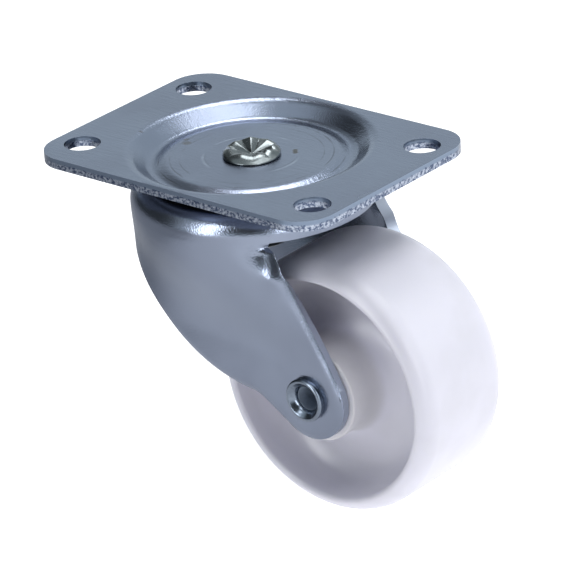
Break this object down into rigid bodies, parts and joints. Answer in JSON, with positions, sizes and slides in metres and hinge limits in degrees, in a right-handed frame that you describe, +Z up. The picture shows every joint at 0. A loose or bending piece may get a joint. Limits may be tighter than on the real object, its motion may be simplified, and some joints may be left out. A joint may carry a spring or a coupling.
{
  "type": "swivel castor",
  "caption": "Plate-mounted swivel castor for furniture: pressed steel top plate with a dished ball raceway, drawn steel fork and a white nylon wheel on a rolled tubular axle",
  "frame": {"origin": "middle of the plate's top face, on the swivel axis", "axes": "+Z up out of the plate's top face, X along the plate's long side with the wheel trailing towards +X, Y along the axle"},
  "size_m": [0.0825, 0.049, 0.065],
  "materials": {
    "plate_zinc": "bright zinc plated sheet, faint blue passivation",
    "fork_zinc": "bright zinc plated drawn sheet, smooth",
    "pin_steel": "plated steel, struck end a little darker",
    "axle_steel": "bright plated tube, rolled heads polished by the tool",
    "ball_steel": "hardened steel balls, thin grease",
    "wheel_nylon": "white moulded nylon, semi-gloss"
  },
  "bodies": {
    "base": {"top_plate": "plate_zinc", "kingpin": "pin_steel", "lower_race": "plate_zinc"},
    "yoke": {"fork": "fork_zinc", "axle": "axle_steel"},
    "road_wheel": {"wheel": "wheel_nylon"},
    "upper_ring": {"upper_balls": "ball_steel"},
    "lower_ring": {"lower_balls": "ball_steel"}
  },
  "joints": [
    {"name": "swivel", "type": "hinge", "parent": "base", "child": "yoke", "pos_m": [0, 0, 0], "axis": [0, 0, 1], "continuous": true},
    {"name": "wheel_spin", "type": "hinge", "parent": "yoke", "child": "road_wheel", "pos_m": [0.0235, 0, -0.04], "axis": [0, 1, 0], "continuous": true},
    {"name": "upper_ring_roll", "type": "hinge", "parent": "base", "child": "upper_ring", "pos_m": [0, 0, -0.0063], "axis": [0, 0, 1], "continuous": true},
    {"name": "lower_ring_roll", "type": "hinge", "parent": "base", "child": "lower_ring", "pos_m": [0, 0, -0.0127], "axis": [0, 0, 1], "continuous": true}
  ],
  "couplings": [
    {"joint": "upper_ring_roll", "follows": "swivel", "ratio": 0.5},
    {"joint": "lower_ring_roll", "follows": "swivel", "ratio": 0.5}
  ]
}
